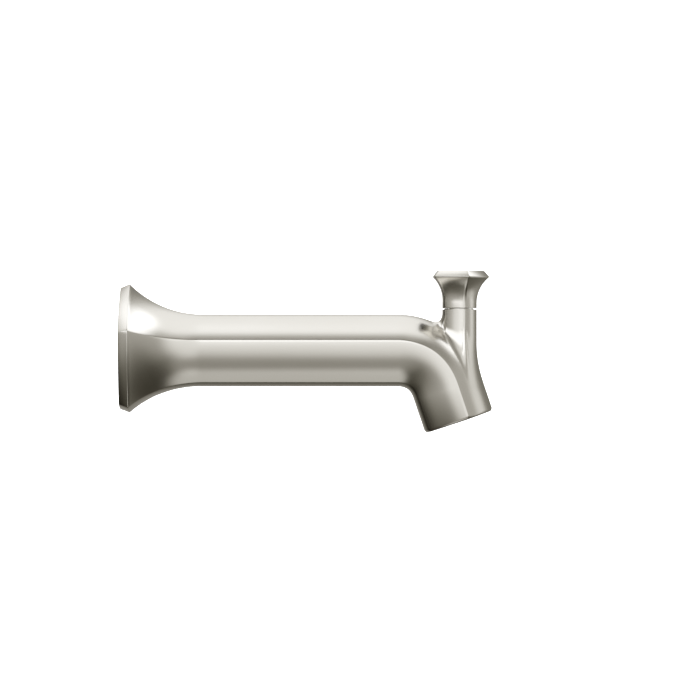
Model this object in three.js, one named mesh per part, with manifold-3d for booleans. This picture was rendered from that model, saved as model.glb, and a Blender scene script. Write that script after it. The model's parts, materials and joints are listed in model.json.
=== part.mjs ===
// Wall mounted bath spout with a pull-up shower diverter.
//
// Units are millimetres. The origin is on the supply pipe's axis in the wall plane, +X points
// out of the wall, +Z is up, and the spout is symmetric about the XZ plane.
// Every cross section of the casting, of the neck and of the knob is a five-sided outline with
// bowed sides. One corner points up along the barrel, forward on the outlet, neck and knob.

import * as THREE from "three";
import { mergeVertices } from "three/addons/utils/BufferGeometryUtils.js";
import Module from "manifold-3d";

const wasm = await Module();
wasm.setup();

// ---------------------------------------------------------------- driving dimensions

const GAP = 0.3; // clearance between neighbouring pieces
const SLIP = 0.06; // clearance between an O-ring and its groove or bore
const AROUND = 24; // facets around a turned piece
const CORNERS = 5;
const SIDE_TURN = (2 * Math.PI) / CORNERS;
const BOW = 0.108; // how far a side bows out, as a share of the outline's radius

const CASTING = {
  wall: 2.6,
  barrelRadius: 20.2, // centre to corner of the barrel's section
  outletRadius: 20.05,
  rimBackRadius: 34.5,
  rimFrontRadius: 36.6,
  rimDepth: 5,
  rimBow: 0.09,
  rimOpening: 28, // inner outline of the rim's back face
  flareEnd: 44.4, // where the flare meets the barrel
  flareRadius: 55.6,
  bendStart: 149,
  bendRadius: 29.2, // of the centre line, where the bend starts
  bendTighter: 1.25, // how much shorter that radius is at the bend's end
  bendAngle: THREE.MathUtils.degToRad(71.3),
  outletLength: 18.5, // straight part after the bend
  endChamfer: { inset: 1.2, length: 1.7 },
  ridge: 0.5, // rounding of the corners
};

const WEB = { back: 40, front: 44, bore: 11.2 }; // carries the inlet adapter
const BULKHEAD = { back: 145, front: 150, bore: 8.3 }; // carries the tube's front end

const NECK = {
  x: 182.1, // axis of the neck, stem and knob
  radius: 9.8,
  ridge: 2.2,
  top: 22.85,
  register: { radius: 7.9, top: 23.4 }, // the raised ring under the knob
  bore: 6.3,
  boreCounter: 7.2,
  counterDepth: 3,
  // How wide the skirt is, by the way its wall faces: degrees, and millimetres.
  fillets: [
    [-90, 6.7],
    [-54, 2.8],
    [-18, 3.2],
    [18, 4.6],
    [54, 4.2],
    [90, 3.5],
  ],
  tallestFillet: 11,
};

const KNOB = {
  bottom: 23.55,
  flareStart: 26.4,
  rimHeight: 40.6,
  top: 43.7,
  flareRadius: 17.5,
  rimRadius: 16.5,
  topRadius: 13.75,
  rimBow: 0.045,
  ridge: 0.45,
  stemHole: 2.8,
  stemHoleTop: 37,
  counter: 5.3,
  counterTop: 30.2,
};

const PIPE = { radius: 7.94, socketEnd: 38 };
const TUBE = { radius: 8, bore: 5.8, back: 40.3, front: 160, groove: 6.7, grooveWidth: 2.2 };
const CORD = 0.75; // radius of the waterway O-rings' cord

const SEAT = { face: 168, throat: 6, nose: 7.5, noseBack: 163.7 };
const GATE = {
  travel: 14,
  centre: -14.5, // height of the seal's centre with the knob down
  plateBack: 171.9,
  plateFront: 174.2,
  plateHalf: 7.8,
  plateBottom: -22,
  armHalf: 3.4,
  armTop: -11.5,
  armBottom: -17.5,
  boss: 5,
};
const STEM = { radius: 2.5, top: 36.7, spigot: 1.9 };

// The outlet's insert is measured inwards along the outlet axis from the end plane.
const INSERT = {
  socket: 13.5,
  socketDepth: 11.6,
  throat: 12,
  throatDepth: 14.2,
  recess: 2.5,
  length: 7,
};

const SCREW = { x: 18, radius: 2.9, bottom: -22, top: -8.3, socketDepth: 3, socketRadius: 1.75 };

// ---------------------------------------------------------------- materials

const nickel = new THREE.MeshStandardMaterial({
  color: 0xbdb8ad,
  roughness: 0.28,
  metalness: 1,
});
const brass = new THREE.MeshStandardMaterial({ color: 0xb5974f, roughness: 0.35, metalness: 1 });
const steel = new THREE.MeshStandardMaterial({ color: 0x9a9c9e, roughness: 0.3, metalness: 1 });
const rubber = new THREE.MeshStandardMaterial({ color: 0x1d1d1e, roughness: 0.8, metalness: 0 });
const foam = new THREE.MeshStandardMaterial({ color: 0x3a3b3d, roughness: 0.95, metalness: 0 });
const acetal = new THREE.MeshStandardMaterial({ color: 0xe6e4dd, roughness: 0.45, metalness: 0 });
const greyPlastic = new THREE.MeshStandardMaterial({
  color: 0x8f9192,
  roughness: 0.5,
  metalness: 0,
});

// ---------------------------------------------------------------- solids

// The signed volume of a closed indexed geometry.
function signedVolume(geometry) {
  const at = geometry.getAttribute("position");
  const index = geometry.index.array;
  const [a, b, c] = [new THREE.Vector3(), new THREE.Vector3(), new THREE.Vector3()];
  let sum = 0;
  for (let i = 0; i < index.length; i += 3) {
    a.fromBufferAttribute(at, index[i]);
    b.fromBufferAttribute(at, index[i + 1]);
    c.fromBufferAttribute(at, index[i + 2]);
    sum += a.dot(b.cross(c)) / 6;
  }
  return sum;
}

// A closed geometry as a solid whose faces point out.
function solidOf(geometry) {
  const bare = geometry.clone();
  bare.deleteAttribute("normal");
  bare.deleteAttribute("uv");
  const merged = mergeVertices(bare, 1e-4);
  const triVerts = new Uint32Array(merged.index.array);
  if (signedVolume(merged) < 0) {
    for (let i = 0; i < triVerts.length; i += 3) {
      [triVerts[i + 1], triVerts[i + 2]] = [triVerts[i + 2], triVerts[i + 1]];
    }
  }
  const vertProperties = merged.getAttribute("position").array;
  return new wasm.Manifold(new wasm.Mesh({ numProp: 3, vertProperties, triVerts }));
}

function geometryOf(solid) {
  const mesh = solid.getMesh();
  const geometry = new THREE.BufferGeometry();
  geometry.setAttribute("position", new THREE.BufferAttribute(mesh.vertProperties, 3));
  geometry.setIndex(new THREE.BufferAttribute(mesh.triVerts, 1));
  return geometry;
}

// The first geometry with the others cut out of it, as a solid.
function cut(whole, ...tools) {
  return tools.reduce((left, tool) => left.subtract(tool), whole);
}

// A piece turned about +Y from its [radius, height] profile.
function turned(profile, facets = AROUND) {
  const points = profile.map(([radius, height]) => new THREE.Vector2(radius, height));
  return new THREE.LatheGeometry(points, facets);
}

const turnedX = (profile, facets) => turned(profile, facets).rotateZ(-Math.PI / 2);
const turnedZ = (profile, facets) => turned(profile, facets).rotateX(Math.PI / 2);

// A plain rod or bore along the axis that the turning function gives, between two places.
const rodProfile = (radius, from, to) => [
  [0, from],
  [radius, from],
  [radius, to],
  [0, to],
];
const rodX = (radius, from, to) => solidOf(turnedX(rodProfile(radius, from, to)));
const rodZ = (radius, from, to) => solidOf(turnedZ(rodProfile(radius, from, to)));

// A washer's profile, closed on itself.
const washerProfile = (inner, outer, from, to) => [
  [inner, from],
  [outer, from],
  [outer, to],
  [inner, to],
  [inner, from],
];

// An O-ring's profile: a cord section around [middle, at].
function cordProfile(middle, at, radius, sides = 8) {
  return Array.from({ length: sides + 1 }, (_, i) => {
    const angle = ((i % sides) * 2 * Math.PI) / sides;
    return [middle + radius * Math.cos(angle), at + radius * Math.sin(angle)];
  });
}

// A hexagonal prism along +Z between two heights.
function hexZ(radius, from, to) {
  const prism = new THREE.CylinderGeometry(radius, radius, to - from, 6);
  return prism.rotateX(Math.PI / 2).translate(0, 0, (from + to) / 2);
}

function box(low, high) {
  const size = high.map((v, i) => v - low[i]);
  const middle = high.map((v, i) => (v + low[i]) / 2);
  return new THREE.BoxGeometry(...size).translate(...middle);
}

// ---------------------------------------------------------------- five-sided sections

// Points of a five-sided outline, each with its outward normal: a corner points along +v,
// the sides are arcs that bow out, and the corners are rounded.
function pentagon(radius, bow, ridge, perSide, perCorner) {
  const half = SIDE_TURN / 2;
  const sagitta = bow * radius;
  const halfChord = radius * Math.sin(half);
  const arc = (halfChord ** 2 + sagitta ** 2) / (2 * sagitta);
  const behind = arc - radius * Math.cos(half) - sagitta; // arc centre, behind the middle
  const inner = arc - ridge;
  const cornerAt =
    Math.sqrt(inner ** 2 - (behind * Math.sin(half)) ** 2) - behind * Math.cos(half);
  const reach = Math.asin((cornerAt * Math.sin(half)) / inner);
  const outline = [];
  for (let side = 0; side < CORNERS; side += 1) {
    const corner = Math.PI / 2 + side * SIDE_TURN;
    const spread = half - reach;
    for (let i = 0; i < perCorner; i += 1) {
      const angle = corner - spread + (2 * spread * i) / perCorner;
      const out = new THREE.Vector2(Math.cos(angle), Math.sin(angle));
      const at = new THREE.Vector2(Math.cos(corner), Math.sin(corner)).multiplyScalar(cornerAt);
      outline.push({ at: at.addScaledVector(out, ridge), out });
    }
    const facing = corner + half;
    for (let i = 0; i < perSide; i += 1) {
      const angle = facing - reach + (2 * reach * i) / perSide;
      const out = new THREE.Vector2(Math.cos(angle), Math.sin(angle));
      const at = new THREE.Vector2(Math.cos(facing), Math.sin(facing)).multiplyScalar(-behind);
      outline.push({ at: at.addScaledVector(out, arc), out });
    }
  }
  return outline;
}

// The outline laid out in space: v runs along up and u along side.
function ring(outline, centre, side, up) {
  return outline.map(({ at }) =>
    centre.clone().addScaledVector(side, at.x).addScaledVector(up, at.y),
  );
}

// A solid skin over a row of rings with equal counts, closed by a fan at each end.
function loft(rings) {
  const count = rings[0].length;
  const points = rings.flat();
  const index = [];
  for (let r = 0; r + 1 < rings.length; r += 1) {
    for (let i = 0; i < count; i += 1) {
      const a = r * count + i;
      const b = r * count + ((i + 1) % count);
      index.push(a, b, b + count, a, b + count, a + count);
    }
  }
  const lastRow = (rings.length - 1) * count;
  const middle = (row) =>
    row.reduce((sum, p) => sum.add(p), new THREE.Vector3()).divideScalar(count);
  points.push(middle(rings[0]), middle(rings.at(-1)));
  for (let i = 0; i < count; i += 1) {
    const next = (i + 1) % count;
    index.push(points.length - 2, next, i);
    index.push(points.length - 1, lastRow + i, lastRow + next);
  }
  return new THREE.BufferGeometry().setFromPoints(points).setIndex(index);
}

// ---------------------------------------------------------------- the spout's path

const SIDEWAYS = new THREE.Vector3(0, 1, 0);
const BEND_CENTRE = { x: CASTING.bendStart, z: -CASTING.bendRadius };

// Radius of the centre line along the bend: it tightens over the last two thirds.
const pathRadius = (angle) =>
  CASTING.bendRadius -
  CASTING.bendTighter * THREE.MathUtils.smoothstep(angle / CASTING.bendAngle, 0.35, 1);

// Where the centre line is after an angle of the bend and a straight length, and the
// direction of the section's top corner there.
function pathAt(angle, straight = 0) {
  const up = new THREE.Vector3(Math.sin(angle), 0, Math.cos(angle));
  const centre = new THREE.Vector3(BEND_CENTRE.x, 0, BEND_CENTRE.z)
    .addScaledVector(up, pathRadius(angle))
    .add(new THREE.Vector3(Math.cos(angle), 0, -Math.sin(angle)).multiplyScalar(straight));
  return { centre, up };
}

const bendRadiusOf = (angle) =>
  THREE.MathUtils.lerp(
    CASTING.barrelRadius,
    CASTING.outletRadius,
    THREE.MathUtils.clamp(angle / CASTING.bendAngle, 0, 1),
  );

// Section radius of the flare at a distance from the wall, behind the rim's front edge.
function flareRadiusAt(x) {
  const before = Math.max(0, CASTING.flareEnd - x);
  const drop = Math.sqrt(CASTING.flareRadius ** 2 - before ** 2);
  return CASTING.barrelRadius + CASTING.flareRadius - drop;
}

const flareBowAt = (x) =>
  THREE.MathUtils.lerp(CASTING.rimBow, BOW, THREE.MathUtils.clamp(x / CASTING.flareEnd, 0, 1));

function straightRing(x, radius, bow, ridge = CASTING.ridge) {
  const outline = pentagon(radius, bow, ridge, 4, 1);
  return ring(outline, new THREE.Vector3(x, 0, 0), SIDEWAYS, new THREE.Vector3(0, 0, 1));
}

function bentRing(angle, straight, inset, ridge = CASTING.ridge) {
  const { centre, up } = pathAt(angle, straight);
  const outline = pentagon(bendRadiusOf(angle) - inset, BOW, ridge, 4, 1);
  return ring(outline, centre, SIDEWAYS, up);
}

const steps = (count, from, to) =>
  Array.from({ length: count + 1 }, (_, i) => from + ((to - from) * i) / count);

// ---------------------------------------------------------------- casting

// Height of the bent tube's top surface at a place in plan, over the bend or the outlet.
function topOfBend(x, y) {
  const dx = x - BEND_CENTRE.x;
  let angle = CASTING.bendAngle / 2;
  let height = 0;
  for (let round = 0; round < 12; round += 1) {
    const reach = pathRadius(angle) + crownAt(bendRadiusOf(angle), Math.abs(y));
    const end = CASTING.bendAngle;
    height =
      dx < reach * Math.sin(end)
        ? Math.sqrt(reach ** 2 - dx ** 2)
        : (reach - dx * Math.sin(end)) / Math.cos(end);
    angle = Math.atan2(dx, height);
  }
  return BEND_CENTRE.z + height;
}

// How far the upper side of a section stands above its centre at a sideways distance.
function crownAt(radius, sideways) {
  const half = SIDE_TURN / 2;
  const sagitta = BOW * radius;
  const arc = ((radius * Math.sin(half)) ** 2 + sagitta ** 2) / (2 * sagitta);
  const behind = arc - radius * Math.cos(half) - sagitta;
  const facing = Math.PI / 2 - half;
  const across = sideways + behind * Math.cos(facing);
  return Math.sqrt(arc ** 2 - across ** 2) - behind * Math.sin(facing);
}

function filletWidth(away) {
  const facing = THREE.MathUtils.radToDeg(Math.atan2(away.x, Math.abs(away.y)));
  const after = Math.max(1, NECK.fillets.findIndex(([angle]) => facing <= angle + 1e-9));
  const [low, here] = NECK.fillets[after - 1];
  const [high, there] = NECK.fillets[after];
  return THREE.MathUtils.lerp(here, there, THREE.MathUtils.smoothstep(facing, low, high));
}

// The neck with a skirt that sweeps from its walls onto the bend's top surface.
function neckSolid() {
  const outline = pentagon(NECK.radius, BOW, NECK.ridge, 4, 2);
  const walls = outline.map(({ at, out }) => {
    const foot = new THREE.Vector2(NECK.x + at.y, -at.x);
    const away = new THREE.Vector2(out.y, -out.x);
    const width = filletWidth(away);
    const heightAt = (w) => topOfBend(foot.x + away.x * w, foot.y + away.y * w);
    const landing = heightAt(width);
    const slope = (heightAt(width) - heightAt(width - 0.01)) / 0.01;
    const crossing = landing - width * slope;
    const start = crossing + Math.min(Math.hypot(width, width * slope), NECK.tallestFillet);
    return { foot, away, width, landing, crossing, start };
  });
  const rowAt = (t) =>
    walls.map(({ foot, away, width, landing, crossing, start }) => {
      const w = width * t * t;
      const z = start * (1 - t) ** 2 + 2 * crossing * t * (1 - t) + landing * t * t;
      return new THREE.Vector3(foot.x + away.x * w, foot.y + away.y * w, z);
    });
  const buried = walls.map(({ foot, away, width, landing }) => {
    const end = foot.clone().addScaledVector(away, width);
    return new THREE.Vector3(end.x, end.y, landing - 1.5);
  });
  const top = walls.map(({ foot }) => new THREE.Vector3(foot.x, foot.y, NECK.top));
  return solidOf(loft([buried, ...steps(6, 1, 0).map(rowAt), top]));
}

function castingOutside() {
  const { rimDepth, flareEnd, bendStart, bendAngle, outletLength, endChamfer } = CASTING;
  const rings = [
    straightRing(0, CASTING.rimBackRadius, CASTING.rimBow),
    straightRing(rimDepth, CASTING.rimFrontRadius, CASTING.rimBow),
    ...[8.5, 12.5, 17, 22, 28, 35, flareEnd].map((x) =>
      straightRing(x, flareRadiusAt(x), flareBowAt(x)),
    ),
    straightRing(bendStart, CASTING.barrelRadius, BOW),
    ...steps(9, 0, bendAngle)
      .slice(1)
      .map((angle) => bentRing(angle, 0, 0)),
    bentRing(bendAngle, outletLength - endChamfer.length, 0),
    bentRing(bendAngle, outletLength, endChamfer.inset),
  ];
  const register = rodZ(NECK.register.radius, NECK.top - 1, NECK.register.top);
  return solidOf(loft(rings))
    .add(neckSolid())
    .add(register.translate([NECK.x, 0, 0]));
}

// The hollow behind the web: its outline follows the flare, and is even behind the rim.
function rearHollow() {
  const inset = CASTING.wall / Math.cos(SIDE_TURN / 2);
  const rings = [-1, 3, 12, 17, 22, 28, WEB.back].map((x) => {
    const radius = Math.min(CASTING.rimOpening, flareRadiusAt(Math.max(x, 5)) - inset);
    return straightRing(x, radius, flareBowAt(Math.max(x, 0)));
  });
  return solidOf(loft(rings));
}

function middleHollow() {
  const radius = CASTING.barrelRadius - CASTING.wall / Math.cos(SIDE_TURN / 2);
  return solidOf(loft([WEB.front, BULKHEAD.back].map((x) => straightRing(x, radius, BOW))));
}

function noseHollow() {
  const inset = CASTING.wall / Math.cos(SIDE_TURN / 2);
  const rings = [
    ...steps(7, (BULKHEAD.front - CASTING.bendStart) / CASTING.bendRadius, CASTING.bendAngle).map(
      (angle) => bentRing(angle, 0, inset),
    ),
    bentRing(CASTING.bendAngle, CASTING.outletLength - INSERT.throatDepth, inset),
  ];
  return solidOf(loft(rings));
}

// The outlet's own frame: +Y runs from the end plane into the spout.
const outletFrame = (() => {
  const { centre, up } = pathAt(CASTING.bendAngle, CASTING.outletLength);
  const inwards = new THREE.Vector3().crossVectors(up, SIDEWAYS).normalize();
  const basis = new THREE.Matrix4().makeBasis(up, inwards, SIDEWAYS.clone().negate());
  return basis.setPosition(centre);
})();

const atOutlet = (profile) => turned(profile).applyMatrix4(outletFrame);

function outletBore() {
  return solidOf(
    atOutlet([
      [0, -2],
      [INSERT.socket, -2],
      [INSERT.socket, INSERT.socketDepth],
      [INSERT.throat, INSERT.socketDepth],
      [INSERT.throat, INSERT.throatDepth + 0.5],
      [0, INSERT.throatDepth + 0.5],
    ]),
  );
}

function neckBore() {
  const counterAt = NECK.top - NECK.counterDepth;
  const profile = [
    [0, -12],
    [NECK.bore, -12],
    [NECK.bore, counterAt],
    [NECK.boreCounter, counterAt],
    [NECK.boreCounter, NECK.top + 1],
    [0, NECK.top + 1],
  ];
  return solidOf(turnedZ(profile).translate(NECK.x, 0, 0));
}

const GROOVE = { outer: 32.9, inner: 29.9, depth: 2.4 }; // for the wall gasket

function pentagonRingX(outer, inner, from, to) {
  const bow = CASTING.rimBow;
  const slab = (radius, a, b) =>
    solidOf(loft([a, b].map((x) => straightRing(x, radius, bow))));
  return cut(slab(outer, from, to), slab(inner, from - 1, to + 1));
}

function spoutBody() {
  const body = cut(
    castingOutside(),
    rearHollow(),
    middleHollow(),
    noseHollow(),
    rodX(WEB.bore, WEB.back - 2, WEB.front + 2),
    rodX(BULKHEAD.bore, BULKHEAD.back - 2, BULKHEAD.front + 2),
    outletBore(),
    neckBore(),
    pentagonRingX(GROOVE.outer, GROOVE.inner, -1, GROOVE.depth),
    rodZ(SCREW.radius + GAP, -30, -15).translate([SCREW.x, 0, 0]),
  );
  return geometryOf(body);
}

function wallGasket() {
  return geometryOf(
    pentagonRingX(GROOVE.outer - GAP, GROOVE.inner + GAP, 0.1, GROOVE.depth - GAP),
  );
}

// ---------------------------------------------------------------- waterway

const PIPE_RING = { middle: 8.62, cord: 0.8, groove: 9.5, at: [26, 32] };

function inletAdapter() {
  const grooveProfile = (at) => [
    [8, at - 1.1],
    [PIPE_RING.groove, at - 1.1],
    [PIPE_RING.groove, at + 1.1],
    [8, at + 1.1],
    [8, at - 1.1],
  ];
  const spigot = WEB.bore - GAP;
  const outside = solidOf(
    turnedX([
      [0, 6],
      [12.6, 6],
      [12.6, WEB.back - GAP],
      [spigot, WEB.back - GAP],
      [spigot, 50],
      [0, 50],
    ]),
  );
  const hexagon = solidOf(hexZ(15.4, 6, 13).rotateY(Math.PI / 2));
  const bore = solidOf(
    turnedX([
      [0, 5],
      [9.8, 5],
      [8.15, 7.4],
      [8.15, PIPE.socketEnd],
      [6.6, PIPE.socketEnd],
      [6.6, TUBE.back - GAP],
      [BULKHEAD.bore, TUBE.back - GAP],
      [BULKHEAD.bore, 51],
      [0, 51],
    ]),
  );
  const grooves = PIPE_RING.at.map((at) => solidOf(turnedX(grooveProfile(at))));
  const screwHole = rodZ(SCREW.radius + GAP, -20, -5).translate([SCREW.x, 0, 0]);
  return geometryOf(cut(outside.add(hexagon), bore, ...grooves, screwHole));
}

const pipeRing = (at) => turnedX(cordProfile(PIPE_RING.middle, at, PIPE_RING.cord));

function setScrew() {
  const shank = rodZ(SCREW.radius, SCREW.bottom, SCREW.top);
  const socketTop = SCREW.bottom + SCREW.socketDepth;
  const socket = solidOf(hexZ(SCREW.socketRadius, SCREW.bottom - 1, socketTop));
  return geometryOf(cut(shank, socket).translate([SCREW.x, 0, 0]));
}

const TUBE_RINGS = [45.5, 147.5]; // the rear one seals in the adapter, the front in the bulkhead

function waterwayTube() {
  const { radius, bore, back, front, groove, grooveWidth } = TUBE;
  const grooves = TUBE_RINGS.map((at) => [at - grooveWidth / 2, at + grooveWidth / 2]);
  const collar = { radius: 10.2, from: BULKHEAD.back - GAP - 4, to: BULKHEAD.back - GAP };
  return turnedX([
    [bore, back],
    [radius, back],
    [radius, grooves[0][0]],
    [groove, grooves[0][0]],
    [groove, grooves[0][1]],
    [radius, grooves[0][1]],
    [radius, collar.from],
    [collar.radius, collar.from],
    [collar.radius, collar.to],
    [radius, collar.to],
    [radius, grooves[1][0]],
    [groove, grooves[1][0]],
    [groove, grooves[1][1]],
    [radius, grooves[1][1]],
    [radius, front],
    [bore, front],
    [bore, back],
  ]);
}

const tubeRing = (at) =>
  turnedX(cordProfile(TUBE.groove + CORD + SLIP, at, CORD));

function diverterSeat() {
  const { face, throat, nose, noseBack } = SEAT;
  const bore = TUBE.radius + GAP;
  const clip = CLIP_GROOVE;
  const profile = [
    [bore, 152],
    [9.6, 152],
    [9.6, noseBack],
    [nose, noseBack],
    [nose, clip.from],
    [clip.radius, clip.from],
    [clip.radius, clip.to],
    [nose, clip.to],
    [nose, face],
    [throat, face + 0.8],
    [throat, TUBE.front + GAP],
    [bore, TUBE.front + GAP],
    [bore, 152],
  ];
  return turnedX(profile);
}

const CLIP_GROOVE = { radius: 7, from: 165.9, to: 166.9 };
const GUIDE = { back: 164, front: 165.7, outside: 9.4, inside: 8.1, bottom: -21.6, top: -0.5 };

// The bracket on the seat's nose: a plate with two lipped rails that the gate slides in.
function gateGuide() {
  const { back, front, outside, inside, bottom, top } = GUIDE;
  const railFront = 176;
  const disc = rodX(10.3, back, front);
  const plate = solidOf(box([back, -outside, bottom + 4], [front, outside, 0]));
  const rails = [-1, 1].map((side) => {
    const wall = [inside * side, outside * side].sort((a, b) => a - b);
    const lip = [6.8 * side, (inside + 0.5) * side].sort((a, b) => a - b);
    return solidOf(box([back, wall[0], bottom], [railFront, wall[1], top])).add(
      solidOf(box([railFront - 1.4, lip[0], bottom], [railFront, lip[1], top])),
    );
  });
  const whole = rails.reduce((sum, rail) => sum.add(rail), disc.add(plate));
  return geometryOf(cut(whole, rodX(SEAT.nose + 0.25, back - 1, front + 1)));
}

// A snap ring with a gap at its top and flats beside the rails.
function guideRetainingRing() {
  const from = CLIP_GROOVE.from + 0.1;
  const to = CLIP_GROOVE.to - 0.1;
  const whole = solidOf(turnedX(washerProfile(CLIP_GROOVE.radius + 0.15, 9.2, from, to)));
  const flat = GUIDE.inside - GAP;
  const flats = [-1, 1].map((side) => {
    const across = [flat * side, 12 * side].sort((a, b) => a - b);
    return solidOf(box([from - 1, across[0], -12], [to + 1, across[1], 12]));
  });
  return geometryOf(cut(whole, ...flats, solidOf(box([from - 1, -2, 4], [to + 1, 2, 12]))));
}

// ---------------------------------------------------------------- gate

function gateCarrier() {
  const { plateBack, plateFront, plateHalf, plateBottom, centre } = GATE;
  const shape = new THREE.Shape();
  shape.moveTo(-plateHalf, plateBottom);
  shape.lineTo(plateHalf, plateBottom);
  shape.absarc(0, centre, plateHalf, 0, Math.PI, false);
  const plate = new THREE.ExtrudeGeometry(shape, {
    depth: plateFront - plateBack,
    bevelEnabled: false,
    curveSegments: 12,
  });
  const upright = new THREE.Matrix4().makeBasis(
    new THREE.Vector3(0, 1, 0),
    new THREE.Vector3(0, 0, 1),
    new THREE.Vector3(1, 0, 0),
  );
  plate.applyMatrix4(upright).translate(plateBack, 0, 0);
  const arm = solidOf(
    box([plateFront - 1, -GATE.armHalf, GATE.armBottom], [NECK.x, GATE.armHalf, GATE.armTop]),
  );
  const boss = rodZ(GATE.boss, GATE.armBottom, GATE.armTop).translate([NECK.x, 0, 0]);
  const stemHole = rodZ(STEM.spigot + GAP, -20, -10).translate([NECK.x, 0, 0]);
  const studHole = rodX(1.9, plateBack - 1, plateFront + 2.6).translate([0, 0, centre]);
  return geometryOf(cut(solidOf(plate).add(arm).add(boss), stemHole, studHole));
}

// The rubber face with the stud that holds it in the carrier.
function gateSeal() {
  const front = GATE.plateBack - GAP;
  return turnedX([
    [0, 169.1],
    [7.4, 169.1],
    [7.4, front],
    [1.6, front],
    [1.6, GATE.plateFront + 2.2],
    [0, GATE.plateFront + 2.2],
  ]).translate(0, 0, GATE.centre);
}

function liftStem() {
  const shoulder = GATE.armTop + GAP;
  const end = GATE.armBottom + 0.1;
  const profile = [
    [0, shoulder - 1],
    [1.25, shoulder - 1],
    [1.25, end],
    [STEM.spigot, end],
    [STEM.spigot, shoulder],
    [STEM.radius, shoulder],
    [STEM.radius, STEM.top - 0.6],
    [STEM.radius - 0.6, STEM.top],
    [0, STEM.top],
  ];
  return turnedZ(profile).translate(NECK.x, 0, 0);
}

const WASHER = { top: GATE.armBottom - GAP, thickness: 0.5 };

function gateWasher() {
  const bottom = WASHER.top - WASHER.thickness;
  return turnedZ(washerProfile(1.35, 3.6, bottom, WASHER.top)).translate(NECK.x, 0, 0);
}

function gateScrew() {
  const headTop = WASHER.top - WASHER.thickness - GAP;
  const headBottom = headTop - 1.8;
  const head = solidOf(
    turnedZ([
      [0, headBottom],
      [2.4, headBottom],
      [3, headBottom + 0.7],
      [3, headTop],
      [1, headTop],
      [1, GATE.armTop - 1.6],
      [0, GATE.armTop - 1.6],
    ]),
  );
  const slots = [0, Math.PI / 2].map((turn) =>
    solidOf(box([-1.7, -0.35, headBottom - 1], [1.7, 0.35, headBottom + 0.9]).rotateZ(turn)),
  );
  return geometryOf(cut(head, ...slots).translate([NECK.x, 0, 0]));
}

// ---------------------------------------------------------------- stem, bushing and spring

const BUSHING = { bottom: 12.4, top: 22.2, radius: 6, flange: 6.9, flangeBottom: 20.2 };

class Helix extends THREE.Curve {
  constructor(radius, from, to, turns) {
    super();
    Object.assign(this, { radius, from, to, turns });
  }

  getPoint(t, target = new THREE.Vector3()) {
    const angle = t * this.turns * 2 * Math.PI;
    return target.set(
      this.radius * Math.cos(angle),
      this.radius * Math.sin(angle),
      THREE.MathUtils.lerp(this.from, this.to, t),
    );
  }
}

function returnSpring() {
  const wire = 0.45;
  const turns = 6;
  const bottom = GATE.armTop + GAP + wire;
  const top = BUSHING.bottom - GAP - wire;
  const section = new THREE.Shape().absarc(0, 0, wire, 0, 2 * Math.PI, false);
  const coil = new THREE.ExtrudeGeometry(section, {
    steps: turns * 12,
    curveSegments: 3,
    bevelEnabled: false,
    extrudePath: new Helix(3.95, bottom, top, turns),
  });
  return coil.translate(NECK.x, 0, 0);
}

function stemBushing() {
  const { bottom, top, radius, flange, flangeBottom } = BUSHING;
  const bore = STEM.radius + GAP;
  const profile = [
    [bore, bottom],
    [radius, bottom],
    [radius, 17.6],
    [4.9, 17.6],
    [4.9, 19.4],
    [radius, 19.4],
    [radius, flangeBottom],
    [flange, flangeBottom],
    [flange, top],
    [bore, top],
    [bore, 17.8],
    [4.05, 17.8],
    [4.05, 15.8],
    [bore, 15.8],
    [bore, bottom],
  ];
  return turnedZ(profile).translate(NECK.x, 0, 0);
}

const stemRing = () => turnedZ(cordProfile(3.28, 16.8, 0.7)).translate(NECK.x, 0, 0);
const bushingRing = () => turnedZ(cordProfile(5.57, 18.5, 0.6)).translate(NECK.x, 0, 0);

// ---------------------------------------------------------------- knob

function knobRing(height, radius, bow, ridge) {
  const outline = pentagon(radius, bow, ridge, 4, 2);
  return ring(
    outline,
    new THREE.Vector3(NECK.x, 0, height),
    new THREE.Vector3(0, -1, 0),
    new THREE.Vector3(1, 0, 0),
  );
}

function liftKnob() {
  const { bottom, flareStart, rimHeight, flareRadius, rimRadius, top, topRadius } = KNOB;
  const flare = (z) => {
    const rise = Math.max(0, z - flareStart);
    const radius = NECK.radius + flareRadius - Math.sqrt(flareRadius ** 2 - rise ** 2);
    const share = rise / (rimHeight - flareStart);
    const ridge = THREE.MathUtils.lerp(NECK.ridge, KNOB.ridge, Math.min(1, 1.5 * share));
    const bow = THREE.MathUtils.lerp(BOW, KNOB.rimBow, share);
    return knobRing(z, Math.min(radius, rimRadius), bow, ridge);
  };
  const outside = solidOf(
    loft([
      flare(bottom),
      ...steps(8, flareStart, rimHeight - 0.5).map(flare),
      knobRing(rimHeight, rimRadius, KNOB.rimBow, KNOB.ridge),
      knobRing(top, topRadius, KNOB.rimBow, KNOB.ridge),
    ]),
  );
  const hole = solidOf(
    turnedZ([
      [0, bottom - 1],
      [KNOB.counter, bottom - 1],
      [KNOB.counter, KNOB.counterTop],
      [KNOB.stemHole, KNOB.counterTop],
      [KNOB.stemHole, KNOB.stemHoleTop],
      [0, KNOB.stemHoleTop],
    ]).translate(NECK.x, 0, 0),
  );
  return geometryOf(cut(outside, hole));
}

const knobBumper = () =>
  turnedZ(washerProfile(2.8, 5, BUSHING.top + GAP, 26.9)).translate(NECK.x, 0, 0);

function knobJamNut() {
  const nut = solidOf(hexZ(4.7, 27.2, 29.8));
  return geometryOf(cut(nut, rodZ(STEM.radius + GAP, 26, 31)).translate([NECK.x, 0, 0]));
}

// ---------------------------------------------------------------- outlet insert

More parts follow.
